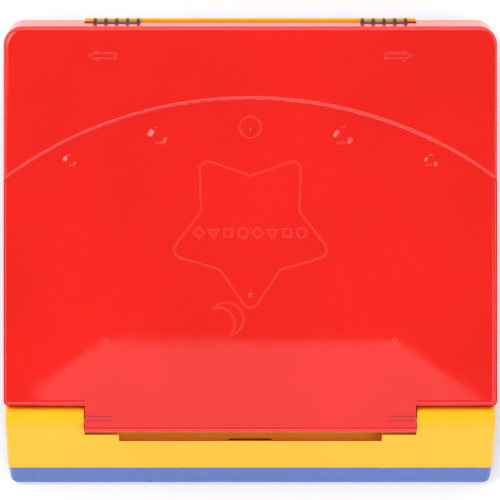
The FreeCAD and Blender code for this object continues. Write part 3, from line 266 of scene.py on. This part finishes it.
finishes = {
    "red_plastic": glossy_plastic("shiny_red", (0.76, 0.009, 0.005), (0.68, 0.008, 0.004)),
    "yellow_plastic": glossy_plastic(
        "shiny_yellow", (0.97, 0.47, 0.009), (0.94, 0.45, 0.007), 0.28, 0.36, shine=0.22, wave=0.05
    ),
    "blue_plastic": glossy_plastic(
        "satin_blue", (0.083, 0.145, 0.45), (0.079, 0.14, 0.43), 0.24, 0.3, shine=0.4, wave=0.02
    ),
    "dark_plastic": textured_plastic("dark_grey", (0.055, 0.05, 0.05), (0.035, 0.032, 0.032)),
    "white_key": textured_plastic("key_white", (0.82, 0.81, 0.77), (0.76, 0.75, 0.70), 0.02 * MM),
    "blue_key": textured_plastic("key_blue", (0.09, 0.19, 0.55), (0.07, 0.15, 0.47), 0.02 * MM),
    "green_button": textured_plastic("button_green", (0.06, 0.42, 0.11), (0.045, 0.34, 0.08), 0.02 * MM),
    "red_button": textured_plastic("button_red", (0.70, 0.03, 0.02), (0.60, 0.02, 0.015), 0.02 * MM),
    "screw_steel": plated_metal("zinc_screws", (0.72, 0.71, 0.68), (0.55, 0.54, 0.50)),
    "pin_steel": plated_metal("bright_pins", (0.78, 0.78, 0.78), (0.62, 0.62, 0.62), (0.12, 0.25)),
    "contact_chrome": plated_metal("nickel_contacts", (0.82, 0.80, 0.76), (0.66, 0.64, 0.60), (0.1, 0.25)),
    "black_rubber": rubber("rubber_black", (0.06, 0.06, 0.06), (0.02, 0.02, 0.02)),
    "grey_rubber": rubber("rubber_grey", (0.36, 0.36, 0.36), (0.28, 0.28, 0.29)),
    "green_board": circuit_laminate("green_laminate", (0.10, 0.30, 0.10), (0.02, 0.14, 0.05)),
    "chip_black": textured_plastic("chip_epoxy", (0.045, 0.045, 0.05), (0.025, 0.025, 0.03)),
    "speaker_black": paper_cone("speaker_cone", (0.05, 0.05, 0.05), (0.02, 0.02, 0.02)),
    "cell_jacket": cell_jacket("cell_wrap", (0.75, 0.42, 0.10), (0.03, 0.03, 0.035)),
    "clear_window": clear_sheet("clear_acrylic"),
    "display_grey": liquid_crystal("display_glass", (0.36, 0.42, 0.33), (0.30, 0.36, 0.28)),
}

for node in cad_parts.values():
    for material_slot in node.material_slots:
        cad_name = material_slot.material.name.split(".")[0]
        material_slot.material = finishes[cad_name]


# ---- printing ----

legend_ink = printed_ink("dark_ink", (0.035, 0.035, 0.05), (0.02, 0.02, 0.03))
blue_ink = printed_ink("blue_ink", (0.06, 0.12, 0.42), (0.05, 0.10, 0.34))
crystal_ink = printed_ink("crystal_ink", (0.06, 0.07, 0.06), (0.04, 0.05, 0.045))

PRINT_HEIGHT = 0.04 * MM
DECK_TOP = 27 * MM
KEY_LETTER = 9 * MM
LABEL_LETTER = 3.6 * MM
LABEL_GAP = 3.2 * MM
CRYSTAL_LETTER = 24 * MM
CRYSTAL_ROW = 16 * MM


def lettering(name, words, height, place, ink, body, turn=Matrix.Identity(4)):
    """A raised print of plain letters, centred on a place, that rides on a body."""
    curve = bpy.data.curves.new(name, "FONT")
    curve.body = words
    curve.size = height
    curve.align_x = "CENTER"
    curve.align_y = "CENTER"
    curve.extrude = PRINT_HEIGHT / 2
    source = bpy.data.objects.new(name, curve)
    mesh = bpy.data.meshes.new_from_object(source)
    bpy.data.objects.remove(source)
    across = [v.co.x for v in mesh.vertices]
    along = [v.co.y for v in mesh.vertices]
    low = Vector((min(across), min(along), 0))
    high = Vector((max(across), max(along), 0))
    mesh.transform(Matrix.Translation(-(low + high) / 2))
    mesh.transform(turn)
    mesh.transform(Matrix.Translation(place))
    piece = bpy.data.objects.new(name, mesh)
    bpy.context.scene.collection.objects.link(piece)
    mesh.materials.append(ink)
    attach(piece, body)


def above(node):
    """Where a print lies on the middle of a CAD node's top."""
    low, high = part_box(node)
    return Vector(((low.x + high.x) / 2, (low.y + high.y) / 2, high.z + PRINT_HEIGHT / 2))


def key_legends():
    """One capital letter on each key."""
    for letter in "abcdefghijklmnopqrstuvwxyz":
        key = f"key_{letter}"
        name = f"legend_{letter}"
        lettering(name, letter.upper(), KEY_LETTER, above(key), legend_ink, key)


def button_labels():
    """Plain words printed on the deck in front of the round buttons."""
    for name in ("music", "game", "count", "draw", "story", "power"):
        low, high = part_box(f"{name}_button")
        place = Vector(((low.x + high.x) / 2, low.y - LABEL_GAP, DECK_TOP + PRINT_HEIGHT / 2))
        lettering(f"label_{name}", name.upper(), LABEL_LETTER, place, blue_ink, "base")


def display_picture():
    """Letters and figures of the liquid crystal, on the face of the display that the user sees."""
    low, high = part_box("display_module")
    face = low.z - PRINT_HEIGHT / 2
    middle = (low.y + high.y) / 2
    towards_user = Matrix.Rotation(math.pi, 4, "X")
    rows = (("upper", "ABC", middle - CRYSTAL_ROW), ("lower", "1 2 3", middle + CRYSTAL_ROW))
    for row, words, y in rows:
        name = f"crystal_{row}"
        place = Vector((0, y, face))
        lettering(name, words, CRYSTAL_LETTER, place, crystal_ink, "lid", towards_user)


key_legends()
button_labels()
display_picture()


# ---- floor, light and camera ----


def link(name, data, place=(0, 0, 0), look_at=None):
    """An object in the scene, turned to a point if one is given."""
    item = bpy.data.objects.new(name, data)
    bpy.context.scene.collection.objects.link(item)
    item.location = place
    if look_at is not None:
        direction = Vector(look_at) - Vector(place)
        item.rotation_euler = direction.to_track_quat("-Z", "Y").to_euler()
    return item


def sheet(name, corners, material, cuts=1):
    """A flat four-cornered sheet."""
    form = bmesh.new()
    form.faces.new([form.verts.new(corner) for corner in corners])
    bmesh.ops.subdivide_edges(form, edges=form.edges, cuts=cuts, use_grid_fill=True)
    mesh = bpy.data.meshes.new(name)
    form.to_mesh(mesh)
    form.free()
    mesh.materials.append(material)
    return link(name, mesh)


def floor():
    """A wide pale floor under the toy."""
    reach = 9.0
    item = sheet(
        "floor",
        [(-reach, -reach, 0), (reach, -reach, 0), (reach, reach, 0), (-reach, reach, 0)],
        pale_floor("pale_floor"),
        cuts=8,
    )


def glowing(name, strength):
    """Plain white light."""
    material = bpy.data.materials.new(name)
    material.use_nodes = True
    tree = material.node_tree
    tree.nodes.clear()
    glow = tree.nodes.new("ShaderNodeEmission")
    glow.inputs["Strength"].default_value = strength
    output = tree.nodes.new("ShaderNodeOutputMaterial")
    tree.links.new(glow.outputs["Emission"], output.inputs["Surface"])
    return material


def reflected_card(eye):
    """A white card above the lid whose mirror image is the paler patch at the rear of the lid."""
    card_height = 0.3
    card_light = 1.35
    spread = 1 + card_height / (eye.z - TOP)
    patch_on_lid_mm = [(74, 45), (-74, 45), (-116, 74), (-96, 100), (96, 100), (110, 70)]
    corners = []
    for x, y in patch_on_lid_mm:
        on_lid = Vector((x * MM, y * MM))
        across = eye.xy + (on_lid - eye.xy) * spread
        corners.append((across.x, across.y, TOP + card_height))
    form = bmesh.new()
    form.faces.new([form.verts.new(corner) for corner in corners])
    mesh = bpy.data.meshes.new("card")
    form.to_mesh(mesh)
    form.free()
    mesh.materials.append(glowing("card_light", card_light))
    card = link("card", mesh)
    card.visible_camera = False
    card.visible_diffuse = False
    card.visible_shadow = False


def soft_box(name, place, width, height, brightness):
    """A rectangular light turned to the toy; its brightness doesn't change with its size."""
    light = bpy.data.lights.new(name, "AREA")
    light.shape = "RECTANGLE"
    light.size = width
    light.size_y = height
    light.energy = brightness * math.pi * width * height
    box = link(name, light, place, (0, 0, TOP))
    box.visible_camera = False


def studio_light():
    """Four soft boxes round the toy: key, fill, front and rear."""
    soft_box("key_box", (0.85, -0.55, 1.25), 0.7, 0.7, 6.0)
    soft_box("fill_box", (-0.85, 0.35, 1.25), 0.7, 0.7, 2.4)
    soft_box("front_box", (0, -1.1, 0.95), 1.2, 0.5, 3.4)
    soft_box("rear_box", (0, 1.1, 0.95), 1.2, 0.5, 2.6)
    bpy.context.scene.world = pale_room(overhead=0.3, walls=1.6)


def pale_room(overhead, walls):
    """A room whose walls are brighter than its ceiling; the camera sees plain white."""
    world = bpy.data.worlds.new("studio")
    world.use_nodes = True
    tree = world.node_tree
    background = tree.nodes["Background"]
    background.inputs["Color"].default_value = (1, 1, 1, 1)
    direction = tree.nodes.new("ShaderNodeTexCoord")
    split = tree.nodes.new("ShaderNodeSeparateXYZ")
    tree.links.new(direction.outputs["Generated"], split.inputs["Vector"])
    wall_top, ceiling_edge = 0.35, 0.65
    glow = tree.nodes.new("ShaderNodeMapRange")
    glow.inputs["From Min"].default_value = wall_top
    glow.inputs["From Max"].default_value = ceiling_edge
    glow.inputs["To Min"].default_value = walls
    glow.inputs["To Max"].default_value = overhead
    tree.links.new(split.outputs["Z"], glow.inputs["Value"])
    seen = tree.nodes.new("ShaderNodeLightPath")
    level = tree.nodes.new("ShaderNodeMapRange")
    level.inputs["To Max"].default_value = 1.0
    tree.links.new(glow.outputs["Result"], level.inputs["To Min"])
    tree.links.new(seen.outputs["Is Camera Ray"], level.inputs["Value"])
    tree.links.new(level.outputs["Result"], background.inputs["Strength"])
    return world


def overhead_camera():
    """A long lens straight above, with the front edge of the toy at the top of the picture."""
    lens_to_lid = 1.6
    field = 252.5 * MM
    aside, forward = 0.2 * MM, -0.75 * MM
    data = bpy.data.cameras.new("camera")
    data.sensor_width = 36
    data.lens = data.sensor_width * lens_to_lid / field
    data.clip_end = 50
    camera = link("camera", data, (aside, forward, TOP + lens_to_lid))
    camera.rotation_euler = (0, 0, math.pi)
    bpy.context.scene.camera = camera
    return camera.location.copy()


floor()
studio_light()
reflected_card(overhead_camera())
bpy.context.scene.view_settings.view_transform = "Standard"
